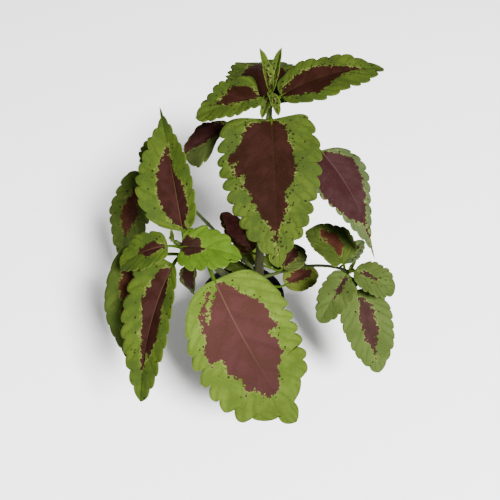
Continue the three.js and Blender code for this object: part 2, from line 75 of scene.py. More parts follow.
ROOT_DEPTH = 14

# ---- Stems, stalks and shoot tips ----
NODE_SWELL = 0.16
NODE_SPREAD = 0.025
SQUARENESS = 0.13
STEM_FIT = 0.97  # brings flats and corners to those of the solid stem
STEM_STEPS = 110
STEM_SIDES = 24
HEIGHT_SEARCH_STEPS = 40
STALK_RADIUS = 0.7
STALK_RADIUS_PER_LENGTH = 0.007
STALK_LAP = 5
STALK_LAP_RADII = (0.85, 0.6)
STALK_SINK = 0.55
STALK_RISE = 0.5
STALK_BEND = 0.33
STALK_TAPER = 0.15
STALK_STEPS = 14
STALK_SIDES = 12
SHOOT_AIM_START = 0.97
SHOOT_RADII = {0: 1, 0.25: 1.08, 0.5: 1.1, 0.75: 0.9, 1: 0.5}  # at shares of its length
YOUNG_START = 0.5
YOUNG_ROWS_PER_TOOTH = 8
YOUNG_COLUMNS = 6

# ---- Blades ----
BLADE_THICKNESS = 0.7
MIDRIB_DEPTH = 1.2
MIDRIB_GROOVE = 0.45
RIB_HALF_WIDTH = 1.3
EDGE_SHARE = 0.45
EDGE_BAND = 1.5
NECK_HALF_WIDTH = 1.3
BLADE_CURL = 0.1
WAVES_ALONG_BLADE = 2.5
LOBE_SPREAD = 0.16
TOOTH_LEAN = 1.3
TOOTH_ROUNDNESS = 0.5
TOOTH_UNEVENNESS = 0.35
TEETH_FADE_IN = 0.15
TEETH_FADE_OUT = 0.1
NOTCH_SWEEP = 0.12
TIP_SWEEP = 0.1
TIP_SWEEP_START = 0.6
TIP_SWEEP_LENGTH = 0.25
POINT_START = 0.8
POINT_LENGTH = 0.1
SWELL_ROUNDNESS = 0.7
SWELL_FADE_IN = 0.1
PLAIN_BY_MIDRIB = 5
VEIN_SLOPE = 0.9
ROWS_PER_TOOTH = 10
COLUMNS = 17
COLUMN_CROWDING = 1.3
TIP = 0.999
FAR = 1000.0  # a blade without a purple centre is this far outside it
TINY = 1e-9

# ---- Markings of a blade: scales per metre, raggedness in millimetres ----
MOTTLE_SCALE = 60
COARSE_SCALE = 230
FINE_SCALE = 700
SPECKLE_SCALE = 400.0
NET_SCALE = 330.0
COARSE_RAGGEDNESS = 5.0
FINE_RAGGEDNESS = 3.2
# Shares of a dot's cell, of the way out to the edge, and of the way between two side veins
DOT_RADIUS = 0.2
DOT_SPREAD = 0.26
SHORT_VEIN_START = 0.35
SHORT_VEIN_FULL = 0.7
VEIN_EDGE = 0.11
VEIN_CORE = 0.03
DIP_WIDTH = 0.4

# ---- Studio, in metres, watts and degrees, with lens and sensor in millimetres ----
FLOOR_SIZE = 8
SKY_STRENGTH = 0.4
LAMP_PLACE = (0.95, -1.75, 2.55)
LAMP_TARGET = (0, 0, 0.1)
LAMP_SIZE = 0.7
LAMP_POWER = 480
CAMERA_PITCH = 50
CAMERA_DISTANCE = 0.64
CAMERA_AIM = (0.007, 0, 0.141)
CAMERA_LENS = 53
SENSOR_WIDTH = 36

STEMS = {
    "main": dict(path=[(15, 0, 64), (14, 4, 120), (19, 30, 190), (23, 52, 264)], radius=(5, 2.3),
                 rooted=True, nodes=(0.22, 0.44, 0.62, 0.8, 0.92)),
    "left": dict(path=[(-1, -10, 64), (1, -13, 120), (-29, -35, 168), (-51, -41, 200)], radius=(3.4, 1.8),
                 rooted=True, nodes=(0.45, 0.72, 0.93)),
    "right": dict(path=[(15, 3, 96), (43, 14, 98), (71, 14, 111), (89, -31, 150)], radius=(1.5, 1.25),
                  rooted=False, nodes=(0.5, 0.94)),
    "back": dict(path=[(15, 5, 103), (-13, 22, 118), (-48, 44, 158), (-81, 64, 175)], radius=(1.8, 1.4),
                 rooted=False, nodes=(0.5, 0.94)),
}

# Outline of a purple centre: share of the blade's length, and share of its half width, negative on
# the left.
PLAIN_PATCH = [(0, -0.15), (0.2, -0.45), (0.4, -0.5), (0.6, -0.35), (0.76, 0), (0.6, 0.35), (0.4, 0.5),
               (0.2, 0.45), (0, 0.15)]
DARK_PATCH = [(0, -0.7), (0.3, -0.75), (0.6, -0.7), (0.85, -0.3), (0.93, 0), (0.85, 0.3), (0.6, 0.7),
              (0.3, 0.75), (0, 0.7)]

# What a leaf has where its own entry says nothing else.
USUAL = dict(fold=12, lobe=2, sway=0, smooth=0.03, depth=0.12, point=0, quilting=0.007, patch=[])

# Each leaf: the stem and height that carry it, the ends of its blade, and for its left and right half,
# seen from the stem, the widths, folds, basal lobes and teeth, or one number where both are alike. Taper
# is (fullness at the base, sharpness at the tip), with right_taper where the right half differs. Arch
# bows the midrib up, and sway bends it to the right. Smooth is where the teeth begin, depth how deep
# their notches are, and point narrows the last fifth of the blade. Ripple is the height of its waves,
# and quilting how far it swells between the veins. Tone names its colours, and patch is the outline of
# its purple centre.
LEAVES = {
    # Crown of the main stem
    "leaf_crown_front": dict(
        stem="main", height=244, base=(24, 43, 251), tip=(29, -51, 180), width=(38, 45), fold=9, arch=8,
        taper=(0.31, 0.76), right_taper=(0.29, 0.76), lobe=(18, 8), teeth=12, point=0.2, ripple=2.2,
        tone="deep",
        patch=[(0, -0.16), (0.06, -0.4), (0.15, -0.36), (0.29, -0.45), (0.36, -0.45), (0.46, -0.36),
               (0.51, -0.22), (0.59, -0.3), (0.7, -0.2), (0.75, -0.05), (0.9, -0.02), (0.9, 0.04),
               (0.76, 0.08), (0.71, 0.24), (0.67, 0.36), (0.57, 0.5), (0.49, 0.5), (0.46, 0.66),
               (0.38, 0.5), (0.4, 0.7), (0.34, 0.76), (0.31, 0.62), (0.29, 0.86), (0.24, 0.7), (0.16, 0.6),
               (0.06, 0.52), (0, 0.2)]),
    "leaf_crown_back": dict(
        stem="main", height=242, base=(22, 64, 249), tip=(15, 152, 226), width=34, fold=10, arch=9,
        taper=(0.3, 0.7), lobe=10, teeth=9, ripple=1.4, tone="deep",
        patch=[(0, -0.7), (0.15, -0.7), (0.4, -0.62), (0.6, -0.45), (0.82, 0), (0.6, 0.45), (0.4, 0.62),
               (0.15, 0.7), (0, 0.7)]),
    "leaf_crown_left": dict(
        stem="main", height=259, base=(15, 50, 267), tip=(-35, 31, 262), width=(18, 27), arch=4,
        taper=(0.45, 0.5), right_taper=(0.3, 0.9), lobe=(4, 9), teeth=8, ripple=1, tone="deep",
        patch=[(0, -0.15), (0.1, -0.2), (0.34, -0.22), (0.57, 0), (0.68, 0.2), (0.46, 0.42), (0.29, 0.62),
               (0.1, 0.5), (0, 0.3)]),
    "leaf_crown_right": dict(
        stem="main", height=259, base=(31, 52, 267), tip=(115, 83, 270), width=(23, 28), arch=8,
        taper=(0.4, 0.7), lobe=4, teeth=9, ripple=1.2, tone="deep",
        patch=[(0.02, -0.25), (0.14, -0.45), (0.28, -0.55), (0.42, -0.5), (0.6, -0.3), (0.75, 0),
               (0.55, 0.2), (0.45, 0.35), (0.4, 0.5), (0.28, 0.65), (0.14, 0.5), (0.02, 0.3)]),
    # Second and third pairs of the main stem
    "leaf_low_left": dict(
        stem="main", height=222, base=(-7, 63, 223), tip=(-49, 52, 204), width=(29, 16), fold=(8, 14),
        arch=6, taper=(2.2, 0.9), right_taper=(0.6, 0.75), lobe=4, teeth=6, depth=0.08, ripple=1,
        tone="shade",
        patch=[(0, -0.3), (0.3, -0.3), (0.55, -0.25), (0.75, -0.15), (0.9, -0.1), (1, 0.2), (0.9, 0.9),
               (0.6, 0.95), (0.3, 1), (0, 0.9)]),
    "leaf_low_right": dict(
        stem="main", height=222, base=(65, 39, 221), tip=(108, -34, 170), width=(24, 33), fold=(10, 20),
        arch=7, sway=-4, taper=(0.8, 2.4), lobe=6, teeth=12, depth=0.1, right_taper=(0.4, 1.25), ripple=1,
        tone="mauve",
        patch=[(0, -0.75), (0.09, -0.6), (0.2, -0.75), (0.32, -0.7), (0.45, -0.65), (0.64, -0.3),
               (0.72, -0.08), (0.9, -0.03), (0.9, 0.08), (0.7, 0.2), (0.66, 0.55), (0.55, 0.85),
               (0.45, 0.95), (0.36, 0.95), (0.21, 0.75), (0.05, 0.5)]),
    "leaf_low_back": dict(
        stem="main", height=186, base=(17, 52, 190), tip=(9, 118, 150), width=24, fold=10, arch=8,
        taper=(0.35, 0.7), lobe=6, teeth=8, ripple=1.2, tone="deep", patch=PLAIN_PATCH),
    "leaf_low_front": dict(
        stem="main", height=186, base=(22, 14, 188), tip=(25, -26, 160), width=15, fold=10, arch=5,
        taper=(0.4, 0.7), lobe=4, teeth=6, ripple=0.8, tone="shade", patch=PLAIN_PATCH),
    # Small leaves low on the main stem
    "leaf_inner_back": dict(
        stem="main", height=150, base=(16, 26, 151), tip=(19, 72, 136), width=14, arch=4, taper=(0.45, 0.7),
        lobe=3, teeth=5, ripple=0.6, tone="shade", patch=PLAIN_PATCH),
    "leaf_inner_left": dict(
        stem="main", height=122, base=(8, 14, 122), tip=(-19, 47, 138), width=(13, 12), arch=3,
        taper=(0.4, 0.6), lobe=3, teeth=6, ripple=0.6, tone="dark",
        patch=[(0, -0.8), (0.5, -0.8), (0.85, -0.6), (1, 0.1), (0.8, 0.95), (0, 0.95)]),
    "leaf_inner_small": dict(
        stem="main", height=82, base=(5, 17, 90), tip=(-21, 29, 89), width=(8, 7), arch=1, taper=(0.5, 0.6),
        lobe=1, teeth=4, ripple=0.3, tone="olive"),
    "leaf_inner_rear": dict(
        stem="main", height=92, base=(12, 20, 97), tip=(-2, 37, 101), width=(11, 12), arch=2,
        taper=(0.4, 0.6), teeth=4, ripple=0.4, tone="rust"),
    "leaf_inner_low": dict(
        stem="main", height=84, base=(21, 30, 96), tip=(43, 14, 92), width=9, arch=2, taper=(0.3, 0.6),
        teeth=4, ripple=0.3, tone="olive"),
    "leaf_inner_front": dict(
        stem="main", height=88, base=(39, -2, 94), tip=(69, 12, 97), width=(15, 18), arch=3,
        taper=(0.5, 0.6), teeth=6, depth=0.03, ripple=0.6, tone="rust",
        patch=[(0.1, -0.2), (0.3, -0.5), (0.55, -0.5), (0.8, -0.2), (0.75, 0.3), (0.5, 0.35), (0.2, 0.3)]),
    "leaf_inner_right": dict(
        stem="main", height=111, base=(36, 2, 113), tip=(52, 22, 121), width=(12, 17), arch=3,
        taper=(0.5, 0.55), teeth=6, depth=0.04, ripple=0.6, tone="shade",
        patch=[(0, -0.8), (0.5, -0.8), (0.75, -0.5), (0.85, 0.1), (0.6, 0.45), (0.2, 0.4), (0, 0.3)]),
    # Left shoot
    "leaf_left_rear": dict(
        stem="left", height=187, base=(-45, -33, 203), tip=(-68, 72, 240), width=(32, 19), fold=(12, 42),
        arch=5, taper=(0.75, 1.7), right_taper=(0.45, 1.1), lobe=8, teeth=11, depth=0.1, point=0.35,
        ripple=1.2, tone="green",
        patch=[(0, -0.2), (0.1, -0.4), (0.2, -0.5), (0.35, -0.45), (0.42, -0.45), (0.5, -0.35), (0.66, 0),
               (0.44, 0.15), (0.36, 0.3), (0.3, 0.5), (0.15, 0.5), (0.04, 0.4)]),
    "leaf_left_front": dict(
        stem="left", height=185, base=(-52, -55, 190), tip=(-76, -141, 130), width=(22, 27), fold=(35, 10),
        arch=8, sway=4, taper=(0.7, 0.62), right_taper=(0.24, 0.85), lobe=8, teeth=10, ripple=1.2,
        tone="green",
        patch=[(0.04, -0.1), (0.11, -0.25), (0.25, -0.38), (0.39, -0.42), (0.52, -0.48), (0.68, -0.3),
               (0.66, -0.1), (0.84, -0.02), (0.84, 0.04), (0.6, 0.16), (0.55, 0.27), (0.45, 0.3),
               (0.3, 0.47), (0.2, 0.4), (0.11, 0.35), (0.04, 0.15)]),
    "leaf_left_inner": dict(
        stem="left", height=191, base=(-45.5, -47, 201), tip=(1, -54, 196), width=(20, 26), fold=(15, 12),
        arch=4, taper=(0.4, 0.8), lobe=(9, 3), teeth=(5, 6), depth=0.15, right_taper=(0.35, 0.75),
        ripple=0.8, tone="lime",
        patch=[(0, -0.7), (0.05, -0.85), (0.28, -0.3), (0.38, 0.15), (0.15, 0.6), (0, 0.5)]),
    "leaf_left_outer": dict(
        stem="left", height=191, base=(-56, -46, 201), tip=(-94, -54, 184), width=(19, 18), fold=(12, 15),
        arch=5, taper=(0.5, 0.75), lobe=4, teeth=7, ripple=0.8, tone="green",
        patch=[(0.02, -0.25), (0.32, -0.4), (0.54, -0.05), (0.48, 0.2), (0.25, 0.35), (0.02, 0.2)]),
    "leaf_left_large": dict(
        stem="left", height=165, base=(-22, -46, 158), tip=(44, -140, 95), width=(48, 48.5), fold=6, arch=7,
        sway=6, taper=(0.36, 0.6), right_taper=(0.6, 0.62), lobe=(16, 13), teeth=11, smooth=0.2, point=0.45,
        ripple=1.8, tone="pale", quilting=0.014,
        patch=[(0.01, -0.1), (0.08, -0.3), (0.18, -0.48), (0.26, -0.62), (0.39, -0.62), (0.44, -0.67),
               (0.44, -0.45), (0.52, -0.54), (0.6, -0.5), (0.69, -0.25), (0.78, -0.1), (0.78, 0.2),
               (0.69, 0.3), (0.69, 0.5), (0.61, 0.4), (0.52, 0.55), (0.46, 0.5), (0.45, 0.7), (0.39, 0.75),
               (0.3, 0.65), (0.2, 0.66), (0.1, 0.55), (0.05, 0.42), (0.07, 0.36), (0.14, 0.46),
               (0.21, 0.54), (0.24, 0.52), (0.16, 0.4), (0.08, 0.12)]),
    "leaf_left_drooping": dict(
        stem="left", height=165, base=(-73, -33, 164), tip=(-85, -91, 95), width=(22, 30), fold=10, arch=10,
        sway=7, taper=(0.5, 0.75), right_taper=(0.2, 0.85), lobe=11, teeth=10, depth=0.03, ripple=1,
        tone="olive",
        patch=[(0.05, -0.3), (0.3, -0.5), (0.55, -0.3), (0.68, 0.1), (0.62, 0.3), (0.46, 0.42),
               (0.36, 0.45), (0.25, 0.62), (0.14, 0.66), (0.08, 0.35)]),
    "leaf_left_small": dict(
        stem="left", height=156, base=(-41, -13, 134), tip=(-47, -18, 108), width=(11, 13), arch=3,
        taper=(0.45, 0.25), teeth=4, ripple=0.5, tone="shade", patch=DARK_PATCH),
    # Rear shoot
    "leaf_rear_left": dict(
        stem="back", height=171, base=(-85, 60, 173), tip=(-112, 24, 100), width=(24, 22), fold=10, arch=9,
        taper=(0.4, 0.75), lobe=6, teeth=9, ripple=1, tone="olive",
        patch=[(0.1, -0.1), (0.31, -0.2), (0.36, -0.5), (0.51, -0.35), (0.7, -0.15), (0.62, 0.15),
               (0.5, 0.35), (0.32, 0.35), (0.18, 0.25)]),
    "leaf_rear_back": dict(
        stem="back", height=171, base=(-79, 68, 178), tip=(-79, 107, 181), width=(14, 13), arch=3,
        taper=(0.3, 0.95), lobe=3, teeth=6, ripple=0.6, tone="green",
        patch=[(0.1, 0.1), (0.3, 0.15), (0.5, 0.3), (0.4, 0.5), (0.15, 0.4)]),
    # Right shoot
    "leaf_right_inner": dict(
        stem="right", height=146, base=(85, -23, 152), tip=(57, 15, 150), width=(15, 25), fold=(20, 12),
        arch=3, taper=(0.35, 0.6), lobe=8, teeth=8, depth=0.05, right_taper=(0.45, 0.55), ripple=0.9,
        tone="olive",
        patch=[(0.12, 0.1), (0.41, 0.1), (0.7, 0.15), (0.8, 0.35), (0.68, 0.48), (0.5, 0.55),
               (0.24, 0.45)]),
    "leaf_right_rear": dict(
        stem="right", height=139, base=(89, -12, 138), tip=(107, 14, 138), width=9, fold=15, arch=2,
        taper=(0.5, 0.75), teeth=5, ripple=0.5, tone="mauve",
        patch=[(0.2, -0.6), (0.5, -0.6), (0.75, -0.2), (0.6, 0.3), (0.2, 0.3)]),
    "leaf_right_outer": dict(
        stem="right", height=146, base=(94, -31, 150), tip=(127, -45, 140), width=(17, 18), arch=3,
        taper=(0.5, 0.55), teeth=7, ripple=0.8, tone="grey",
        patch=[(0.1, -0.1), (0.18, -0.32), (0.35, -0.25), (0.6, 0), (0.4, 0.06), (0.15, 0.04)]),
    "leaf_right_lower": dict(
        stem="right", height=144, base=(88, -32, 148), tip=(65, -64, 123), width=(17, 14), arch=3,
        taper=(0.35, 0.6), teeth=7, ripple=0.8, tone="grey",
        patch=[(0.01, -0.1), (0.24, -0.28), (0.5, -0.18), (0.52, -0.06), (0.3, 0.08), (0.05, 0.06)]),
    "leaf_right_front": dict(
        stem="right", height=141, base=(97, -38, 134), tip=(116, -91, 88), width=(23, 24), arch=5,
        taper=(0.4, 0.7), lobe=4, teeth=9, depth=0.07, ripple=1, tone="grey",
        patch=[(0.08, -0.05), (0.25, -0.35), (0.48, -0.35), (0.68, -0.12), (0.72, 0.0), (0.84, 0.02),
               (0.84, 0.06), (0.7, 0.1), (0.54, 0.3), (0.31, 0.25), (0.12, 0.08)]),
}

# Young leaves round each shoot tip, upright or, at the front of the main one, hanging: each has its tip,
# measured from the bud, and its half width.
YOUNG = dict(fold=40, arch=1, taper=(0.6, 0.8), lobe=0, teeth=3, ripple=0,
             patch=[(0.05, -0.15), (0.35, -0.3), (0.6, 0), (0.35, 0.3), (0.05, 0.15)])
BUDS = {
    "bud_main": dict(stem="main", length=8, radius=1.5,
                     young=[((-9, 12, 34), 6), ((8, 14, 33), 6), ((-7, -17, -11), 5.5),
                            ((6, -16, -9), 5.5), ((-2, -12, 6), 3), ((2, 6, 14), 2.6)]),
    "bud_left": dict(stem="left", length=5, radius=1.2, young=[((-1, 5, 7), 2.2), ((-2, -4, 6), 2.2)]),
    "bud_right": dict(stem="right", length=4, radius=1.1, young=[((5, 5, 9), 2.6), ((4, -6, 8), 2.6)]),
    "bud_back": dict(stem="back", length=4, radius=1.1, young=[((-8, 0, 9), 2.6), ((-3, 7, 9), 2.6)]),
}

# Linear colours of a leaf: outer green, its lighter part, purple centre, its lighter part, and midrib.
# Speckles is the share of dots that show, and an optional pair how bright the blade is towards the stalk
# and at the tip: partly its own colour and partly painted shade of the curved blade.
TONES = {
    "deep": dict(
        green=(0.0202, 0.0320, 0.0049), light=(0.0342, 0.0516, 0.0062), purple=(0.0098, 0.0032, 0.0015),
        bloom=(0.0153, 0.0048, 0.0033), rib=(0.0123, 0.0063, 0.0021), speckles=0.8),
    "green": dict(
        green=(0.0218, 0.0362, 0.0054), light=(0.0363, 0.0560, 0.0061), purple=(0.0124, 0.0040, 0.0024),
        bloom=(0.0186, 0.0063, 0.0051), rib=(0.0414, 0.0215, 0.0116), speckles=0.25),
    "olive": dict(
        green=(0.0212, 0.0328, 0.0053), light=(0.0344, 0.0491, 0.0079), purple=(0.0240, 0.0075, 0.0042),
        bloom=(0.0360, 0.0125, 0.0068), rib=(0.0340, 0.0180, 0.0085), speckles=0.2),
    "shade": dict(
        green=(0.0247, 0.0338, 0.0077), light=(0.0380, 0.0491, 0.0114), purple=(0.0145, 0.0047, 0.0031),
        bloom=(0.0224, 0.0078, 0.0073), rib=(0.0172, 0.0092, 0.0047), speckles=0.15),
    # Much brighter than the leaf's own colours: painted light for a leaf deep in the plant that the lamp
    # leaves in shade
    "dark": dict(
        green=(0.0482, 0.0234, 0.0104), light=(0.0681, 0.0344, 0.0139), purple=(0.1535, 0.0441, 0.0443),
        bloom=(0.2449, 0.0777, 0.0772), rib=(0.1827, 0.0841, 0.0620), speckles=0.2),
    # Partly the leaves' own colour and partly painted light, brighter for leaves low in the plant that the
    # lamp leaves in shade
    "rust": dict(
        green=(0.0562, 0.0744, 0.0115), light=(0.0938, 0.1151, 0.0172), purple=(0.0275, 0.0088, 0.0062),
        bloom=(0.0390, 0.0140, 0.0095), rib=(0.0310, 0.0140, 0.0085), speckles=0.3),
    "lime": dict(
        green=(0.0325, 0.0628, 0.0049), light=(0.0465, 0.0881, 0.0062), purple=(0.0125, 0.0049, 0.0033),
        bloom=(0.0182, 0.0086, 0.0054), rib=(0.0160, 0.0105, 0.0051), speckles=0.2),
    "pale": dict(
        green=(0.0391, 0.0614, 0.0071), light=(0.0586, 0.0909, 0.0110), purple=(0.0292, 0.0113, 0.0085),
        bloom=(0.0345, 0.0124, 0.0113), rib=(0.0510, 0.0270, 0.0195), speckles=0.3, paling_and_tip_shade=(1.22, 0.72)),
    # Partly the leaves' own greyed colour and partly a painted sheen of the lamp
    "grey": dict(
        green=(0.0302, 0.0448, 0.0092), light=(0.0406, 0.0602, 0.0131), purple=(0.0184, 0.0081, 0.0064),
        bloom=(0.0246, 0.0114, 0.0096), rib=(0.0202, 0.0101, 0.0081), speckles=0.08),
    # Partly the leaf's own mauve colour and partly a painted sheen of the lamp
    "mauve": dict(
        green=(0.0317, 0.0443, 0.0149), light=(0.0422, 0.0581, 0.0211), purple=(0.0174, 0.0056, 0.0057),
        bloom=(0.0235, 0.0097, 0.0099), rib=(0.0400, 0.0205, 0.0215), speckles=0.25),
}
CREAM = (0.095, 0.120, 0.025)
SPECKLE = (0.0080, 0.0068, 0.0022)
STALK_GREEN = (0.0235, 0.0450, 0.0030)
STEM_GREEN = (0.028, 0.040, 0.0085)
BARK = (0.0125, 0.0115, 0.0042)
UNDERSIDE_RIB = (0.063, 0.077, 0.028)
STEM_FIBRE = (0.0085, 0.0052, 0.0036)
POT_BLACK = (0.0045, 0.0045, 0.005)
POT_DUST = (0.014, 0.012, 0.010)
SOIL_DARK = (0.004, 0.003, 0.002)
SOIL_BROWN = (0.020, 0.012, 0.007)
PERLITE = (0.10, 0.09, 0.075)
FLOOR_WHITE = (0.95, 0.95, 0.95)


# ---- Lines and surfaces of the plant ----
def clamp(value):
    return min(1.0, max(0.0, value))


def cubic(path, t):
    a, b, c, d = (Vector(p) for p in path)
    s = 1 - t
    return a * s ** 3 + b * 3 * s * s * t + c * 3 * s * t * t + d * t ** 3


def stem_radius(stem, t):
    low, high = stem["radius"]
    swell = sum(math.exp(-(((t - node) / NODE_SPREAD) ** 2)) for node in stem["nodes"])
    return (low + (high - low) * t) * (1 + NODE_SWELL * swell)


def stem_at_height(stem, height):
    low, high = 0.0, 1.0
    for _ in range(HEIGHT_SEARCH_STEPS):
        middle = (low + high) / 2
        if cubic(stem["path"], middle).z < height:
            low = middle
        else:
            high = middle
    return cubic(stem["path"], low)


def whole_leaf(leaf):
    """A leaf with the usual values filled in, and a pair where one number stands for both halves."""
    leaf = {**USUAL, **leaf}
    for key in ("width", "fold", "lobe", "teeth"):
        if not isinstance(leaf[key], tuple):
            leaf[key] = (leaf[key], leaf[key])
    return leaf


def midrib(leaf, t):
    """Point on the midrib, with the directions along it, to its right and out of the upper face."""
    base, tip = Vector(leaf["base"]), Vector(leaf["tip"])
    chord = (tip - base).normalized()
    right = chord.cross(UP).normalized()
    up = right.cross(chord)
    bend = (base + tip) / 2 + up * 2 * leaf["arch"] + right * 2 * leaf["sway"]
    point = base * (1 - t) ** 2 + bend * 2 * t * (1 - t) + tip * t * t
    along = ((bend - base) * (1 - t) + (tip - bend) * t).normalized()
    side = (right - along * right.dot(along)).normalized()
    return point, along, side, side.cross(along)


def half_of(side):
    return 0 if side < 0 else 1


def notch(leaf, t, side):
    """Depth of the edge: 1 in the notch between two teeth and 0 at the full part of a tooth."""
    phase = leaf["teeth"][half_of(side)] * t
    share = phase - math.floor(phase)
    fullness = abs(math.sin(math.pi * share ** TOOTH_LEAN)) ** TOOTH_ROUNDNESS
    uneven = 1 + TOOTH_UNEVENNESS * math.sin(2.3 * math.floor(phase + 0.5) + 1.9 * side)
    begun = clamp((t - leaf["smooth"]) / TEETH_FADE_IN)
    left = clamp((1.02 - t) / TEETH_FADE_OUT)
    return begun * left * uneven * (1 - fullness)


def plain_width(leaf, t, side):
    """Width of one side of the blade without its teeth, 1 at its widest."""
    full, sharp = leaf.get("right_taper", leaf["taper"]) if side > 0 else leaf["taper"]
    widest = full / (full + sharp)
    pointed = 1 - leaf["point"] * clamp((t - POINT_START) / POINT_LENGTH)
    return pointed * t ** full * (1 - t) ** sharp / (widest ** full * (1 - widest) ** sharp)


def blade_reach(leaf, t, side):
    """Distance from the midrib to the edge in millimetres."""
    shape = plain_width(leaf, t, side)
    toothed = shape - leaf["depth"] * notch(leaf, t, side) * math.sqrt(shape)
    return max(leaf["width"][half_of(side)] * toothed, NECK_HALF_WIDTH * (1 - t))


def blade_length(leaf):
    return (Vector(leaf["tip"]) - Vector(leaf["base"])).length


def vein_phase(leaf, t, side, reach):
    """Whole numbers lie on the side veins, which sweep forward and end at the notches."""
    half = half_of(side)
    slope = leaf["teeth"][half] * VEIN_SLOPE * leaf["width"][half] / blade_length(leaf)
    return leaf["teeth"][half] * t + slope * (1 - reach)


def quilting(leaf, t, side, reach, x):
    """Blade raised between the side veins and sunk along the midrib."""
    swollen = abs(math.sin(math.pi * vein_phase(leaf, t, side, reach) / 2)) ** SWELL_ROUNDNESS - 0.5
    inside = clamp(x / PLAIN_BY_MIDRIB) * (1 - reach ** 4) * clamp(t / SWELL_FADE_IN)
    raised = leaf["quilting"] * max(leaf["width"]) * swollen * inside
    return raised - MIDRIB_GROOVE * math.exp(-(x ** 2)) * (1 - t)


def blade_point(leaf, t, side, reach):
    """Point of the blade's middle surface: reach is 0 at the midrib and 1 at the edge."""
    point, along, across, up = midrib(leaf, t)
    half = half_of(side)
    width = leaf["width"][half]
    x = blade_reach(leaf, t, side) * reach
    fold = math.radians(leaf["fold"][half])
    wave = math.sin(2 * math.pi * (WAVES_ALONG_BLADE * t + (0.5 if side < 0 else 0)))
    lift = x * math.sin(fold) - BLADE_CURL * width * (x / width) ** 2
    lift += leaf["ripple"] * reach * reach * wave
    lift += quilting(leaf, t, side, reach, x)
    pitch = blade_length(leaf) / leaf["teeth"][half]
    behind = leaf["lobe"][half] * (x / width) ** 2 * math.exp(-((t / LOBE_SPREAD) ** 2))
    sweep = NOTCH_SWEEP + TIP_SWEEP * clamp((t - TIP_SWEEP_START) / TIP_SWEEP_LENGTH)
    behind += sweep * pitch * notch(leaf, t, side) * reach ** 3
    return point + across * side * x * math.cos(fold) + up * lift - along * behind


# ---- Purple centres ----
def flat_place(leaf, t, share):
    """Place on the blade laid flat, in millimetres: across from the midrib and along it."""
    side = -1 if share < 0 else 1
    width = leaf["width"][half_of(side)]
    return Vector((share * width * plain_width(leaf, t, side), t * blade_length(leaf)))


def patch_depth(outline, place):
    """Distance in from the outline of a purple centre, negative outside it, in millimetres."""
    inside = False
    nearest = FAR
    for a, b in zip(outline, outline[1:] + outline[:1]):
        if (a.y > place.y) != (b.y > place.y):
            if place.x < a.x + (b.x - a.x) * (place.y - a.y) / (b.y - a.y):
                inside = not inside
        span = b - a
        share = clamp((place - a).dot(span) / max(span.length_squared, TINY))
        nearest = min(nearest, (place - a - span * share).length)
    return nearest if inside else -nearest


# ---- Mesh pieces ----
LEAF_VALUES = ("patch", "along", "across", "edge", "vein_left", "vein_right", "upper", "stalk")
STALK_VALUES = dict(patch=-40, across=20, edge=20, upper=1, stalk=1)


def value_layers(bm):
    return {name: bm.verts.layers.float.new(name) for name in LEAF_VALUES}


def new_object(name, data):
    made = bpy.data.objects.new(name, data)
    bpy.context.scene.collection.objects.link(made)
    return made


def mesh_object(name, bm):
    """Brings millimetres to metres and puts the mesh in the scene."""
    bmesh.ops.scale(bm, vec=(MM, MM, MM), verts=bm.verts)
    mesh = bpy.data.meshes.new(name)
    bm.to_mesh(mesh)
    bm.free()
    return new_object(name, mesh)


def finish_piece(bm, replaces, material):
    """Turns the faces out and puts the piece in the frame."""
    bmesh.ops.recalc_face_normals(bm, faces=bm.faces)
    for face in bm.faces:
        face.smooth = True
    piece = mesh_object(replaces + "_fine", bm)
    piece.data.materials.append(material)
    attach(piece, "root")
    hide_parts(replaces)
    return piece


def grow_rod(bm, points, radii, sides, squareness=0.0):
    """A closed rod: a round cap extruded from point to point. Gives back its vertices."""
    grown = bmesh.ops.create_circle(bm, cap_ends=True, segments=sides, radius=1)["verts"]
    cap = grown[0].link_faces[0]
    side = Vector((1, 0, 0))
    for i, point in enumerate(points):
        if i > 0:
            whole = [cap, *cap.edges, *cap.verts]
            longer = bmesh.ops.extrude_face_region(bm, geom=whole)["geom"]
            cap = next(item for item in longer if isinstance(item, bmesh.types.BMFace))
            grown.extend(cap.verts)
        along = (points[min(len(points) - 1, i + 1)] - points[max(0, i - 1)]).normalized()
        if i == 0 and abs(along.x) > 0.8:
            side = Vector((0, 1, 0))
        side = (side - along * side.dot(along)).normalized()
        across = side.cross(along)
        for k, vertex in enumerate(cap.verts):
            angle = 2 * math.pi * k / sides
            reach = radii[i] * (1 - squareness * math.cos(4 * angle))
            vertex.co = point + side * reach * math.sin(angle) + across * reach * math.cos(angle)
    return grown


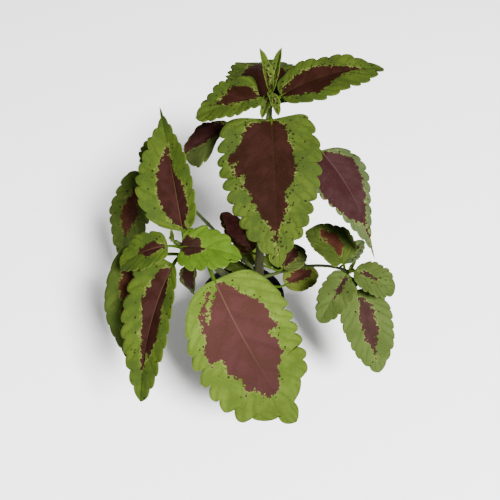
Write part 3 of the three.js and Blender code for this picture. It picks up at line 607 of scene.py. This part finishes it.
def grow_blade(bm, leaf, layers, rows_per_tooth, columns):
    """A flat grid laid out on the blade's surface and extruded to its thickness."""
    rows = rows_per_tooth * max(leaf["teeth"])
    sheet = bmesh.ops.create_grid(bm, x_segments=2 * columns, y_segments=rows, size=1)["verts"]
    outline = [flat_place(leaf, t, share) for t, share in leaf["patch"]]
    for vertex in sheet:
        t = min((vertex.co.y + 1) / 2, TIP)
        side = -1 if vertex.co.x < 0 else 1
        reach = abs(vertex.co.x) ** COLUMN_CROWDING
        x = blade_reach(leaf, t, side) * reach
        vertex[layers["patch"]] = patch_depth(outline, Vector((side * x, t * blade_length(leaf))))
        vertex[layers["along"]] = t
        vertex[layers["across"]] = side * x
        vertex[layers["edge"]] = blade_reach(leaf, t, side) - x
        vertex[layers["vein_left"]] = vein_phase(leaf, t, -1, reach)
        vertex[layers["vein_right"]] = vein_phase(leaf, t, 1, reach)
        vertex[layers["upper"]] = 1
        vertex.co = blade_point(leaf, t, side, reach)
    faces = list({face for vertex in sheet for face in vertex.link_faces})
    edges = list({edge for vertex in sheet for edge in vertex.link_edges})
    for face in faces:
        face.normal_update()
    for vertex in sheet:
        vertex.normal_update()
    outward = {vertex: vertex.normal.copy() for vertex in sheet}
    lower = bmesh.ops.extrude_face_region(bm, geom=sheet + edges + faces)
    pairs = {}
    for item in lower["geom"]:
        if isinstance(item, bmesh.types.BMVert):
            pairs[tuple(item.co)] = item
    for vertex in sheet:
        below = pairs[tuple(vertex.co)]
        t, x, edge = (vertex[layers[name]] for name in ("along", "across", "edge"))
        half = BLADE_THICKNESS / 2 * (EDGE_SHARE + (1 - EDGE_SHARE) * clamp(edge / EDGE_BAND))
        rib = MIDRIB_DEPTH * (1 - t) * math.exp(-((x / RIB_HALF_WIDTH) ** 2))
        below[layers["upper"]] = 0
        below.co = vertex.co - outward[vertex] * (half + rib)
        vertex.co = vertex.co + outward[vertex] * half


def paint_stalk(vertices, layers):
    """Marks a rod as stalk, clear of the purple centre, the veins and the edge."""
    for vertex in vertices:
        for name, value in STALK_VALUES.items():
            vertex[layers[name]] = value


def grow_stalk(bm, leaf, layers):
    """A stalk from the stem up and over to the blade, lapped under the start of the midrib."""
    start = stem_at_height(STEMS[leaf["stem"]], leaf["height"])
    base = Vector(leaf["base"])
    _, along, _, up = midrib(leaf, 0)
    reach = (base - start).length
    size = STALK_RADIUS + STALK_RADIUS_PER_LENGTH * blade_length(leaf)
    under = base - up * size * STALK_SINK
    rise = Vector((base.x - start.x, base.y - start.y, 0)).normalized() + UP * STALK_RISE
    path = [start, start + rise * reach * STALK_BEND, under - along * reach * STALK_BEND, under]
    points = [cubic(path, k / STALK_STEPS) for k in range(STALK_STEPS + 1)]
    radii = [size * (1 + STALK_TAPER - STALK_TAPER * k / STALK_STEPS) for k in range(STALK_STEPS + 1)]
    points += [under + along * STALK_LAP / 2, under + along * STALK_LAP]
    radii += [size * share for share in STALK_LAP_RADII]
    paint_stalk(grow_rod(bm, points, radii, STALK_SIDES), layers)


def make_leaf(name, leaf, material):
    bm = bmesh.new()
    layers = value_layers(bm)
    grow_blade(bm, leaf, layers, ROWS_PER_TOOTH, COLUMNS)
    grow_stalk(bm, leaf, layers)
    finish_piece(bm, name, material)


def make_bud(name, bud, material):
    """A shoot tip that carries on from its stem, with its young leaves."""
    bm = bmesh.new()
    layers = value_layers(bm)
    path = STEMS[bud["stem"]]["path"]
    top = cubic(path, 1)
    along = (top - cubic(path, SHOOT_AIM_START)).normalized()
    foot = top + along * GAP
    points = [foot + along * bud["length"] * share for share in SHOOT_RADII]
    radii = [bud["radius"] * factor for factor in SHOOT_RADII.values()]
    paint_stalk(grow_rod(bm, points, radii, STALK_SIDES), layers)
    base = foot + along * bud["length"] * YOUNG_START
    for tip, width in bud["young"]:
        leaf = dict(YOUNG, base=tuple(base), tip=tuple(base + Vector(tip)), width=width)
        grow_blade(bm, whole_leaf(leaf), layers, YOUNG_ROWS_PER_TOOTH, YOUNG_COLUMNS)
    finish_piece(bm, name, material)


def make_stem(name, stem, material):
    bm = bmesh.new()
    points = [cubic(stem["path"], k / STEM_STEPS) for k in range(STEM_STEPS + 1)]
    radii = [stem_radius(stem, k / STEM_STEPS) * STEM_FIT for k in range(STEM_STEPS + 1)]
    if stem["rooted"]:
        points.insert(0, points[0] - UP * ROOT_DEPTH)
        radii.insert(0, radii[0])
    grow_rod(bm, points, radii, STEM_SIDES, SQUARENESS)
    finish_piece(bm, "stem_" + name, material)


# ---- Pot and soil ----
def wall_radius(z):
    return POT_BASE_RADIUS + (POT_WALL_TOP_RADIUS - POT_BASE_RADIUS) * z / POT_RIM_BOTTOM


def turn(bm, profile, segments):
    """A body of revolution: a profile from axis to axis, spun round and closed."""
    vertices = [bm.verts.new((radius, 0, z)) for radius, z in profile]
    edges = [bm.edges.new(pair) for pair in zip(vertices, vertices[1:])]
    bmesh.ops.spin(bm, geom=vertices + edges, cent=(0, 0, 0), axis=(0, 0, 1), angle=2 * math.pi,
                   steps=segments, use_merge=True)
    bmesh.ops.remove_doubles(bm, verts=bm.verts, dist=0.001)
    bmesh.ops.recalc_face_normals(bm, faces=bm.faces)


def drill_drains(pot):
    """Cuts the drain holes through the pot's floor."""
    bm = bmesh.new()
    for k in range(DRAIN_COUNT):
        turned = Matrix.Rotation(2 * math.pi * k / DRAIN_COUNT, 4, "Z")
        bmesh.ops.create_cone(bm, cap_ends=True, segments=DRAIN_SEGMENTS, radius1=DRAIN_RADIUS,
                              radius2=DRAIN_RADIUS, depth=4 * POT_FLOOR,
                              matrix=turned @ Matrix.Translation((DRAIN_CIRCLE, 0, 0)))
    drill = mesh_object("drill", bm)
    cut = pot.modifiers.new("drains", "BOOLEAN")
    cut.operation = "DIFFERENCE"
    cut.object = drill
    bpy.context.view_layer.objects.active = pot
    bpy.ops.object.modifier_apply(modifier="drains")
    bpy.data.objects.remove(drill)


def make_pot(material):
    """A thin tapered wall with a wide rim band and drain holes in its floor."""
    rim = POT_RIM_RADIUS
    wall_top = wall_radius(POT_RIM_BOTTOM)
    middle = POT_RIM_BOTTOM * 0.5
    profile = [
        # Underside and outer wall
        (0, 0), (POT_BASE_RADIUS - 0.6, 0), (POT_BASE_RADIUS, 0.8), (wall_radius(middle), middle),
        (wall_top, POT_RIM_BOTTOM),
        # Rim band, over the lip and down inside it
        (rim - 0.9, POT_RIM_BOTTOM + 0.6), (rim, POT_HEIGHT - 1.4), (rim - 0.8, POT_HEIGHT),
        (rim - 1.8, POT_HEIGHT - 0.8), (rim - 2.2, POT_RIM_BOTTOM + 2.4),
        # Inner wall and floor
        (wall_top - POT_WALL, POT_RIM_BOTTOM), (wall_radius(POT_FLOOR) - POT_WALL, POT_FLOOR),
        (0, POT_FLOOR),
    ]
    bm = bmesh.new()
    turn(bm, profile, POT_SEGMENTS)
    corners = [edge for edge in bm.edges if edge.calc_face_angle(0) > math.radians(POT_CORNER_ANGLE)]
    bmesh.ops.bevel(bm, geom=corners, offset=POT_EDGE_ROUNDING, offset_type="OFFSET", affect="EDGES",
                    segments=3, profile=0.5, material=-1, clamp_overlap=True)
    pot = finish_piece(bm, "pot", material)
    drill_drains(pot)
    pot.data.set_sharp_from_angle(angle=math.radians(POT_SHADING_ANGLE))


def soil_height(share):
    """Height of the smoothed soil at a share of its radius, lower towards the wall."""
    return SOIL_TOP - SOIL_DROP * share ** 4


def make_soil(material):
    """Soil with a crumbed top, and loose crumbs half sunk in it."""
    edge = wall_radius(POT_RIM_BOTTOM) - POT_WALL - GAP - SOIL_SIDE_PLAY
    floor = POT_FLOOR + GAP
    profile = [(0, floor), (wall_radius(floor) - POT_WALL - GAP - SOIL_SIDE_PLAY, floor)]
    for ring in range(SOIL_RINGS, -1, -1):
        share = ring / SOIL_RINGS
        profile.append((edge * share, soil_height(share)))
    bm = bmesh.new()
    turn(bm, profile, SOIL_SECTORS)
    for vertex in bm.verts:
        x, y, z = vertex.co
        if z > SOIL_TOP - 2 * SOIL_DROP:
            share = min(1, math.hypot(x, y) / edge)
            broad = math.sin(0.9 * x + 1.3 * y) * math.sin(1.1 * x - 0.7 * y + 1)
            fine = noise.fractal(vertex.co * 0.45, 0.9, 2.0, 4)
            relief = SOIL_CRUMB * 0.6 * broad + SOIL_GRAIN * fine
            vertex.co.z += relief * (1 - 0.7 * share ** 6)
    draw = random.Random(CRUMB_SEED)
    for _ in range(CRUMBS):
        angle = draw.uniform(0, 2 * math.pi)
        distance = edge * 0.93 * math.sqrt(draw.random())
        size = draw.uniform(CRUMB_SMALLEST, CRUMB_LARGEST)
        height = soil_height(distance / edge) + size * 0.1
        spot = Vector((distance * math.cos(angle), distance * math.sin(angle), height))
        crumb = bmesh.ops.create_icosphere(bm, subdivisions=1, radius=size)["verts"]
        for vertex in crumb:
            vertex.co *= 1 + CRUMB_UNEVENNESS * noise.noise(vertex.co * 1.3 + spot)
        bmesh.ops.scale(bm, vec=(1, 1, CRUMB_FLATNESS), verts=crumb)
        bmesh.ops.translate(bm, vec=spot, verts=crumb)
    finish_piece(bm, "soil", material)


# ---- Materials ----
def opaque(colour):
    return (*colour, 1)


def set_sockets(tree, node, values):
    """Links each socket to another node's output, or gives it a plain value."""
    for name, value in values.items():
        if isinstance(value, bpy.types.NodeSocket):
            tree.links.new(value, node.inputs[name])
        else:
            node.inputs[name].default_value = value


def add_node(tree, kind, sockets=None, **settings):
    made = tree.nodes.new(kind)
    for name, value in settings.items():
        setattr(made, name, value)
    set_sockets(tree, made, sockets or {})
    return made


def maths(tree, operation, a, b=0.0):
    return add_node(tree, "ShaderNodeMath", {0: a, 1: b}, operation=operation).outputs[0]


def times(tree, a, b):
    return maths(tree, "MULTIPLY", a, b)


def fade(tree, value, low, high, to_low=0.0, to_high=1.0):
    """Smooth step of a value from low to high."""
    sockets = {"Value": value, "From Min": low, "From Max": high, "To Min": to_low, "To Max": to_high}
    made = add_node(tree, "ShaderNodeMapRange", sockets, interpolation_type="SMOOTHSTEP")
    return made.outputs["Result"]


def blend(tree, factor, a, b, how="MIX"):
    sockets = {0: factor, 6: a, 7: b}
    return add_node(tree, "ShaderNodeMix", sockets, data_type="RGBA", blend_type=how).outputs[2]


def tint(tree, mask, strength, under, over):
    """Lays a colour over another where a mask is on."""
    return blend(tree, times(tree, mask, strength), under, over)


def attribute(tree, name):
    return add_node(tree, "ShaderNodeAttribute", attribute_name=name).outputs["Fac"]


def object_place(tree):
    return add_node(tree, "ShaderNodeTexCoord").outputs["Object"]


def grain(tree, where, scale, detail=2.0, rough=0.5):
    sockets = {"Vector": where, "Scale": scale, "Detail": detail, "Roughness": rough}
    return add_node(tree, "ShaderNodeTexNoise", sockets).outputs["Fac"]


def swing(tree, value, amount):
    """A noise value as a push of up to the amount either way."""
    return times(tree, maths(tree, "SUBTRACT", value, 0.5), 2 * amount)


def from_line(tree, phase):
    """Distance of a phase from the nearest whole number, as 0 to 0.5."""
    turned = maths(tree, "FRACT", maths(tree, "ADD", phase, 0.5))
    return maths(tree, "ABSOLUTE", maths(tree, "SUBTRACT", turned, 0.5))


def dress(tree, shader, colour, rough, gloss, bump):
    """Finish of a surface. Bump is its height value, its strength and its distance in metres."""
    relief = add_node(tree, "ShaderNodeBump", dict(zip(("Height", "Strength", "Distance"), bump)))
    set_sockets(tree, shader, {"Base Color": colour, "Roughness": rough, "Specular IOR Level": gloss,
                               "Normal": relief.outputs["Normal"]})


def speckle_dots(tree, where, amount, ragged):
    """Dots, thick beside the purple centre and rare away from it."""
    cells = add_node(tree, "ShaderNodeTexVoronoi",
                     {"Vector": where, "Scale": SPECKLE_SCALE, "Randomness": 1.0})
    draws = add_node(tree, "ShaderNodeSeparateColor", {"Color": cells.outputs["Color"]})
    chance = times(tree, amount, fade(tree, ragged, -8.0, -0.5, 0.05, 1.0))
    chosen = maths(tree, "LESS_THAN", draws.outputs[0], chance)
    radius = maths(tree, "MULTIPLY_ADD", draws.outputs[1], DOT_SPREAD)
    radius.node.inputs[2].default_value = DOT_RADIUS
    dot = maths(tree, "LESS_THAN", cells.outputs["Distance"], radius)
    return times(tree, dot, chosen)


def from_side_veins(tree, across):
    """Distance from the nearest long side vein and from the nearest short one, 1 at the other kind."""
    left = maths(tree, "LESS_THAN", across, 0.0)
    vein_left, vein_right = attribute(tree, "vein_left"), attribute(tree, "vein_right")
    change = times(tree, left, maths(tree, "SUBTRACT", vein_left, vein_right))
    phase = maths(tree, "ADD", vein_right, change)
    paired = times(tree, phase, 0.5)
    from_long = times(tree, from_line(tree, paired), 2.0)
    return from_long, maths(tree, "SUBTRACT", 1.0, from_long)


def leaf_marks():
    """Masks that every leaf shares: ragged centre, cream line, speckles, veins, mottling and relief."""
    tree = bpy.data.node_groups.new("leaf_marks", "ShaderNodeTree")
    tree.interface.new_socket("Speckles", in_out="INPUT", socket_type="NodeSocketFloat")
    where = object_place(tree)
    amount = add_node(tree, "NodeGroupInput").outputs["Speckles"]
    patch, along, across, edge = (attribute(tree, name) for name in ("patch", "along", "across", "edge"))
    # Ragged outline of the centre, with broken cream beside it
    coarse = grain(tree, where, COARSE_SCALE, 2, 0.6)
    fine = grain(tree, where, FINE_SCALE, 3, 0.65)
    mottle = grain(tree, where, MOTTLE_SCALE, 4, 0.6)
    ragged = maths(tree, "ADD", patch, swing(tree, coarse, COARSE_RAGGEDNESS))
    ragged = maths(tree, "ADD", ragged, swing(tree, fine, FINE_RAGGEDNESS))
    centre = fade(tree, ragged, -0.15, 0.15)
    outside = maths(tree, "SUBTRACT", 1.0, centre)
    cream = times(tree, fade(tree, ragged, -1.3, -0.3), outside)
    cream = times(tree, cream, fade(tree, mottle, 0.43, 0.54))
    speckle = times(tree, speckle_dots(tree, where, amount, ragged), outside)
    # Side veins: every second one runs from the midrib, those between start part of the way out
    from_long, from_short = from_side_veins(tree, across)
    distance = maths(tree, "ABSOLUTE", across)
    width = maths(tree, "ADD", maths(tree, "ADD", distance, edge), 0.01)
    reach = maths(tree, "DIVIDE", distance, width)
    outer = fade(tree, reach, SHORT_VEIN_START, SHORT_VEIN_FULL)
    strong = fade(tree, from_long, VEIN_EDGE, VEIN_CORE)
    weak = times(tree, fade(tree, from_short, VEIN_EDGE, VEIN_CORE), outer)
    inside = fade(tree, edge, 0.2, 1.5)
    vein = times(tree, maths(tree, "MAXIMUM", strong, weak), inside)
    # Midrib, narrower towards the tip, and the thin line of the margin
    girth = fade(tree, along, 0.0, 0.8, 0.7, 0.12)
    middle = fade(tree, maths(tree, "SUBTRACT", distance, girth), 0.25, -0.15)
    middle = times(tree, middle, fade(tree, along, 0.85, 0.35))
    margin = fade(tree, edge, 0.7, 0.1)
    # Relief: blade swollen between the veins, uneven over the blade, with a fine net and grain
    dip_short = times(tree, fade(tree, from_short, DIP_WIDTH, 0.0), outer)
    dip = maths(tree, "MAXIMUM", fade(tree, from_long, DIP_WIDTH, 0.0), dip_short)
    dip = times(tree, dip, fade(tree, mottle, 0.4, 0.6, 0.15, 1.0))
    net_cells = add_node(tree, "ShaderNodeTexVoronoi", {"Vector": where, "Scale": NET_SCALE},
                         feature="DISTANCE_TO_EDGE")
    net = fade(tree, net_cells.outputs["Distance"], 0.0, 0.3)
    relief = maths(tree, "SUBTRACT", 1.0, times(tree, dip, 0.35))
    relief = maths(tree, "ADD", relief, times(tree, net, 0.16))
    relief = maths(tree, "ADD", relief, times(tree, fine, 0.12))
    results = dict(Centre=centre, Cream=cream, Speckle=speckle, Vein=vein, Midrib=middle, Margin=margin,
                   Mottle=mottle, Relief=relief)
    for name in results:
        tree.interface.new_socket(name, in_out="OUTPUT", socket_type="NodeSocketFloat")
    add_node(tree, "NodeGroupOutput", results)
    return tree


def new_material(name):
    material = bpy.data.materials.new(name)
    material.use_nodes = True
    tree = material.node_tree
    return material, tree, tree.nodes["Principled BSDF"]


def paint_hollow_shade(tree, colour, relief, deepest, highest):
    """Multiplies a colour by one value in the hollows of the relief and by another on its swellings:
    painted shade in the hollows and a little painted light on the swellings.
    """
    return blend(tree, 1.0, colour, fade(tree, relief, 0.8, 1.1, deepest, highest), "MULTIPLY")


def leaf_material(name, tone, marks):
    """Skin of a leaf: green outer part, purple centre, midrib, paler underside and green stalk."""
    material, tree, shader = new_material("leaf_" + name)
    group = add_node(tree, "ShaderNodeGroup", node_tree=marks)
    group.inputs["Speckles"].default_value = tone["speckles"]
    out = group.outputs
    shades = ("green", "light", "purple", "bloom", "rib")
    green, light, purple, bloom, rib = (opaque(tone[shade]) for shade in shades)
    outer = blend(tree, fade(tree, out["Mottle"], 0.35, 0.65), green, light)
    outer = tint(tree, out["Vein"], 0.4, outer, green)
    # Painted shade in the hollows between the veins of the green part, a little lighter on the swellings
    outer = paint_hollow_shade(tree, outer, out["Relief"], 0.84, 1.02)
    outer = tint(tree, out["Margin"], 0.35, outer, opaque(CREAM))
    outer = tint(tree, out["Cream"], 0.8, outer, opaque(CREAM))
    outer = tint(tree, out["Midrib"], 0.4, outer, light)
    outer = tint(tree, out["Speckle"], 0.9, outer, opaque(SPECKLE))
    inner = blend(tree, fade(tree, out["Mottle"], 0.4, 0.62), purple, bloom)
    inner = tint(tree, out["Vein"], 0.35, inner, bloom)
    # Painted shade in the hollows of the purple centre, a little lighter on the swellings
    inner = paint_hollow_shade(tree, inner, out["Relief"], 0.9, 1.02)
    inner = tint(tree, out["Midrib"], 0.8, inner, rib)
    top = blend(tree, out["Centre"], outer, inner)
    below = tint(tree, out["Centre"], 0.7, light, bloom)
    below = blend(tree, out["Midrib"], below, opaque(UNDERSIDE_RIB))
    both = blend(tree, attribute(tree, "upper"), below, top)
    # Some blades are paler towards the stalk and darker towards the tip, partly their own colour and partly
    # painted shade of the curved blade
    paling_and_tip_shade = fade(tree, attribute(tree, "along"), 0.1, 1.0, *tone.get("paling_and_tip_shade", (1.0, 1.0)))
    both = blend(tree, 1.0, both, paling_and_tip_shade, "MULTIPLY")
    colour = blend(tree, attribute(tree, "stalk"), both, opaque(STALK_GREEN))
    rough = fade(tree, out["Relief"], 0.3, 1.2, 0.58, 0.7)
    dress(tree, shader, colour, rough, gloss=0.02, bump=(out["Relief"], 0.7, 0.0010))
    return material


def stem_material(name, low, high):
    """Skin of a stem, from the colour of its foot to that of its top."""
    material, tree, shader = new_material("stem_" + name)
    where = object_place(tree)
    height = add_node(tree, "ShaderNodeSeparateXYZ", {"Vector": where}).outputs["Z"]
    streak = add_node(tree, "ShaderNodeMapping", {"Vector": where, "Scale": (1.0, 1.0, 0.12)})
    fibre = grain(tree, streak.outputs["Vector"], 900, 3, 0.6)
    colour = blend(tree, fade(tree, height, 0.1, 0.19), opaque(low), opaque(high))
    colour = blend(tree, fade(tree, fibre, 0.45, 0.7, 0.0, 0.45), colour, opaque(STEM_FIBRE))
    dress(tree, shader, colour, 0.6, gloss=0.06, bump=(fibre, 0.4, 0.0004))
    return material


def pot_material():
    """Black moulded plastic, finely grained, with a film of dust."""
    material, tree, shader = new_material("pot_plastic")
    where = object_place(tree)
    texture = grain(tree, where, 1400, 2, 0.5)
    dust = grain(tree, where, 45, 4, 0.6)
    colour = blend(tree, fade(tree, dust, 0.5, 0.75, 0.0, 0.5), opaque(POT_BLACK), opaque(POT_DUST))
    rough = fade(tree, dust, 0.3, 0.7, 0.42, 0.62)
    dress(tree, shader, colour, rough, gloss=0.3, bump=(texture, 0.25, 0.0002))
    return material


def soil_material():
    """Dark potting soil with a few pale grains of perlite."""
    material, tree, shader = new_material("potting_soil")
    where = object_place(tree)
    texture = grain(tree, where, 700, 5, 0.7)
    clods = add_node(tree, "ShaderNodeTexVoronoi", {"Vector": where, "Scale": 380.0})
    share = add_node(tree, "ShaderNodeSeparateColor", {"Color": clods.outputs["Color"]}).outputs[0]
    colour = blend(tree, fade(tree, texture, 0.35, 0.7), opaque(SOIL_DARK), opaque(SOIL_BROWN))
    colour = blend(tree, fade(tree, share, 0.93, 0.95, 0.0, 0.8), colour, opaque(PERLITE))
    dress(tree, shader, colour, 0.95, gloss=0.5, bump=(texture, 0.8, 0.001))
    return material


# ---- Studio ----
def floor_material():
    material, _, shader = new_material("studio_floor")
    shader.inputs["Base Color"].default_value = opaque(FLOOR_WHITE)
    shader.inputs["Roughness"].default_value = 0.9
    return material


def make_studio():
    """A plain pale floor under an even sky, with one soft lamp."""
    bpy.ops.mesh.primitive_plane_add(size=FLOOR_SIZE, location=(0, 0, 0))
    floor = bpy.context.object
    floor.name = "studio_floor"
    floor.data.materials.append(floor_material())
    world = bpy.data.worlds.new("studio_light")
    world.use_nodes = True
    sky = world.node_tree.nodes["Background"]
    sky.inputs["Color"].default_value = (1, 1, 1, 1)
    sky.inputs["Strength"].default_value = SKY_STRENGTH
    bpy.context.scene.world = world
    add_lamp()


def add_lamp():
    light = bpy.data.lights.new("key", "AREA")
    light.size = LAMP_SIZE
    light.energy = LAMP_POWER
    lamp = new_object("key", light)
    lamp.location = LAMP_PLACE
    towards = Vector(LAMP_TARGET) - Vector(LAMP_PLACE)
    lamp.rotation_euler = towards.to_track_quat("-Z", "Y").to_euler()


def make_camera():
    """Looks steeply down from the front, aimed a little below the middle of the foliage."""
    pitch = math.radians(CAMERA_PITCH)
    data = bpy.data.cameras.new("camera")
    data.lens = CAMERA_LENS
    data.sensor_width = SENSOR_WIDTH
    camera = new_object("camera", data)
    back = Vector((0, -math.cos(pitch), math.sin(pitch)))
    camera.location = Vector(CAMERA_AIM) + back * CAMERA_DISTANCE
    camera.rotation_euler = (math.pi / 2 - pitch, 0, 0)
    bpy.context.scene.camera = camera


# ---- Build ----
make_camera()
make_studio()
marks = leaf_marks()
leaf_looks = {name: leaf_material(name, tone, marks) for name, tone in TONES.items()}
for name, leaf in LEAVES.items():
    make_leaf(name, whole_leaf(leaf), leaf_looks[leaf["tone"]])
for name, bud in BUDS.items():
    make_bud(name, bud, leaf_looks["deep"])
woody = stem_material("woody", BARK, STEM_GREEN)
leafy = stem_material("leafy", STEM_GREEN, STEM_GREEN)
for name, stem in STEMS.items():
    make_stem(name, stem, woody if stem["rooted"] else leafy)
make_pot(pot_material())
make_soil(soil_material())
